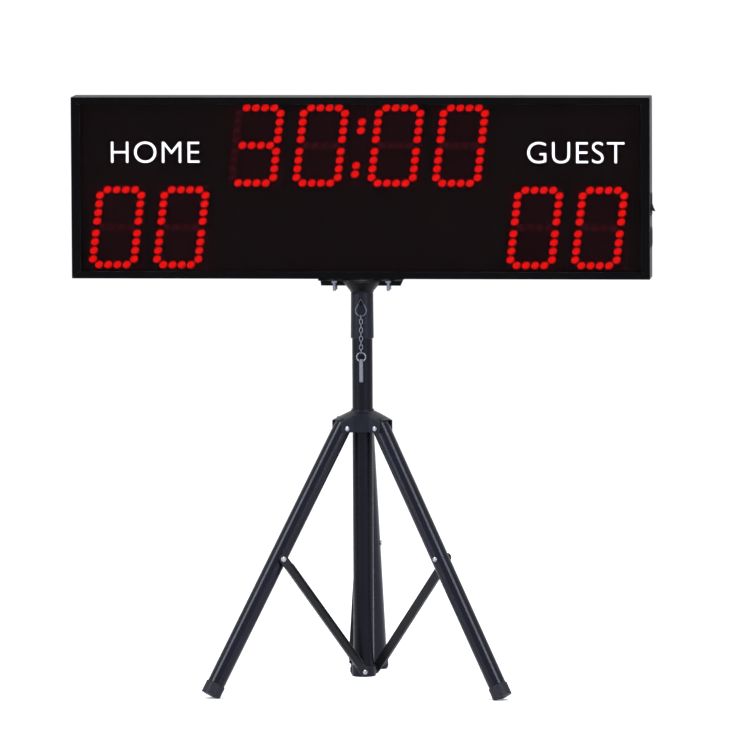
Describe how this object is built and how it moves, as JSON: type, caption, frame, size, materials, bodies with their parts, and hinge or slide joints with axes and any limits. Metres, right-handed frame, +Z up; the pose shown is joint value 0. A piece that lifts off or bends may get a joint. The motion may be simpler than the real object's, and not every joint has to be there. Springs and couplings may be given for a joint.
{
  "type": "portable game clock",
  "caption": "Wide LED game clock with score digits in a black frame, on a folding tripod with telescoping mast.",
  "frame": {"origin": "on the floor under the middle of the whole object's box, the legs spread", "axes": "+Z up along the mast, the display's window faces -Y, +X to the right of a viewer of the window"},
  "size_m": [0.9068, 0.4214, 0.9255],
  "materials": {
    "frame_black": "satin black powder coat on aluminium extrusion",
    "aluminium": "plain mill finish",
    "window_tint": "smoked clear acrylic sheet",
    "panel_black": "matt black painted aluminium sheet",
    "led_board": "black circuit board with round red LEDs",
    "control_board_green": "green circuit board",
    "rear_cover_grey": "matt dark grey painted aluminium sheet",
    "switch_black": "moulded black nylon",
    "steel_black": "black painted pressed steel",
    "tube_black": "gloss black enamel on steel tube",
    "plastic_black": "moulded black nylon",
    "bright_zinc": "bright zinc plated steel",
    "satin_zinc": "satin zinc plated steel tube",
    "foot_rubber": "black rubber"
  },
  "bodies": {
    "mast": {"column_tube": "tube_black", "top_sleeve": "plastic_black", "hook_screw": "steel_black", "lower_collar": "plastic_black", "left_collar_rivet": "bright_zinc", "right_collar_rivet": "bright_zinc", "rear_collar_rivet": "bright_zinc"},
    "riser": {"riser_tube": "satin_zinc"},
    "display": {"top_rail": "frame_black", "bottom_rail": "frame_black", "left_rail": "frame_black", "right_rail": "frame_black", "top_right_corner_key": "aluminium", "bottom_right_corner_key": "aluminium", "bottom_left_corner_key": "aluminium", "top_left_corner_key": "aluminium", "power_supply": "aluminium", "front_window": "window_tint", "chassis_panel": "panel_black", "clock_minutes_tens_board": "led_board", "clock_minutes_units_board": "led_board", "clock_seconds_tens_board": "led_board", "clock_seconds_units_board": "led_board", "home_score_tens_board": "led_board", "home_score_units_board": "led_board", "guest_score_tens_board": "led_board", "guest_score_units_board": "led_board", "colon_board": "led_board", "control_board": "control_board_green", "rear_cover": "rear_cover_grey", "switch_body": "switch_black", "power_inlet": "switch_black", "pole_bracket": "steel_black", "front_left_bracket_bolt": "bright_zinc", "front_right_bracket_bolt": "bright_zinc", "rear_left_bracket_bolt": "bright_zinc", "rear_right_bracket_bolt": "bright_zinc"},
    "rocker": {"switch_rocker": "switch_black"},
    "sleeve_clamp": {"sleeve_knob": "plastic_black"},
    "hub": {"leg_hub": "plastic_black", "left_leg_bolt": "bright_zinc", "right_leg_bolt": "bright_zinc", "rear_leg_bolt": "bright_zinc"},
    "hub_clamp": {"hub_knob": "plastic_black"},
    "hook": {"chain_hook": "bright_zinc"},
    "chain": {"pin_chain": "bright_zinc"},
    "ring": {"pin_ring": "bright_zinc"},
    "pin": {"safety_pin": "bright_zinc"},
    "leg_left": {"left_leg": "tube_black", "left_foot": "foot_rubber", "left_leg_rivet": "bright_zinc"},
    "strut_left": {"left_strut": "tube_black"},
    "leg_right": {"right_leg": "tube_black", "right_foot": "foot_rubber", "right_leg_rivet": "bright_zinc"},
    "strut_right": {"right_strut": "tube_black"},
    "leg_rear": {"rear_leg": "tube_black", "rear_foot": "foot_rubber", "rear_leg_rivet": "bright_zinc"},
    "strut_rear": {"rear_strut": "tube_black"}
  },
  "joints": [
    {"name": "riser_slide", "type": "slide", "parent": "mast", "child": "riser", "axis": [0, 0, 1], "range_m": [0, 0.36]},
    {"name": "display_swivel", "type": "hinge", "parent": "riser", "child": "display", "pos_m": [-0.00335, -0.06472, 0.6355], "axis": [0, 0, 1], "continuous": true},
    {"name": "switch_rock", "type": "hinge", "parent": "display", "child": "rocker", "pos_m": [0.44694, -0.06472, 0.7585], "axis": [0, 1, 0], "range_deg": [0, 22]},
    {"name": "sleeve_knob_turn", "type": "hinge", "parent": "mast", "child": "sleeve_clamp", "pos_m": [-0.00335, -0.04192, 0.5855], "axis": [0, 1, 0], "range_deg": [0, 720]},
    {"name": "hub_slide", "type": "slide", "parent": "mast", "child": "hub", "axis": [0, 0, 1], "range_m": [0, 0.0728]},
    {"name": "hub_knob_turn", "type": "hinge", "parent": "hub", "child": "hub_clamp", "pos_m": [-0.02743, -0.05082, 0.4155], "axis": [-0.866, 0.5, 0], "range_deg": [0, 720]},
    {"name": "hook_swing", "type": "hinge", "parent": "mast", "child": "hook", "pos_m": [-0.00335, -0.08627, 0.605], "axis": [0, 1, 0], "range_deg": [-60, 60]},
    {"name": "chain_swing", "type": "hinge", "parent": "hook", "child": "chain", "pos_m": [-0.00335, -0.08627, 0.5871], "axis": [0, 1, 0], "range_deg": [-30, 30]},
    {"name": "ring_swing", "type": "hinge", "parent": "chain", "child": "ring", "pos_m": [-0.00335, -0.08627, 0.5257], "axis": [0, 1, 0], "range_deg": [-45, 45]},
    {"name": "pin_swing", "type": "hinge", "parent": "ring", "child": "pin", "pos_m": [-0.00335, -0.08627, 0.5142], "axis": [-1, 0, 0], "range_deg": [0, 75.1]},
    {"name": "left_leg_fold", "type": "hinge", "parent": "hub", "child": "leg_left", "pos_m": [-0.03367, -0.08222, 0.4105], "axis": [0.5, -0.866, 0], "range_deg": [0, 29.2]},
    {"name": "left_strut_fold", "type": "hinge", "parent": "mast", "child": "strut_left", "pos_m": [-0.01028, -0.06872, 0.0285], "axis": [-0.5, 0.866, 0], "range_deg": [0, 29.98]},
    {"name": "right_leg_fold", "type": "hinge", "parent": "hub", "child": "leg_right", "pos_m": [0.02696, -0.08222, 0.4105], "axis": [0.5, 0.866, 0], "range_deg": [0, 29.2]},
    {"name": "right_strut_fold", "type": "hinge", "parent": "mast", "child": "strut_right", "pos_m": [0.00357, -0.06872, 0.0285], "axis": [-0.5, -0.866, 0], "range_deg": [0, 29.98]},
    {"name": "rear_leg_fold", "type": "hinge", "parent": "hub", "child": "leg_rear", "pos_m": [-0.00335, -0.02972, 0.4105], "axis": [-1, 0, 0], "range_deg": [0, 29.2]},
    {"name": "rear_strut_fold", "type": "hinge", "parent": "mast", "child": "strut_rear", "pos_m": [-0.00335, -0.05672, 0.0285], "axis": [1, 0, 0], "range_deg": [0, 29.98]}
  ],
  "couplings": [
    {"joint": "pin_swing", "follows": "hub_slide", "rad_per_m": 18},
    {"joint": "left_leg_fold", "follows": "hub_slide", "rad_per_m": 6.997},
    {"joint": "left_strut_fold", "follows": "hub_slide", "rad_per_m": 7.1849},
    {"joint": "right_leg_fold", "follows": "hub_slide", "rad_per_m": 6.997},
    {"joint": "right_strut_fold", "follows": "hub_slide", "rad_per_m": 7.1849},
    {"joint": "rear_leg_fold", "follows": "hub_slide", "rad_per_m": 6.997},
    {"joint": "rear_strut_fold", "follows": "hub_slide", "rad_per_m": 7.1849}
  ]
}
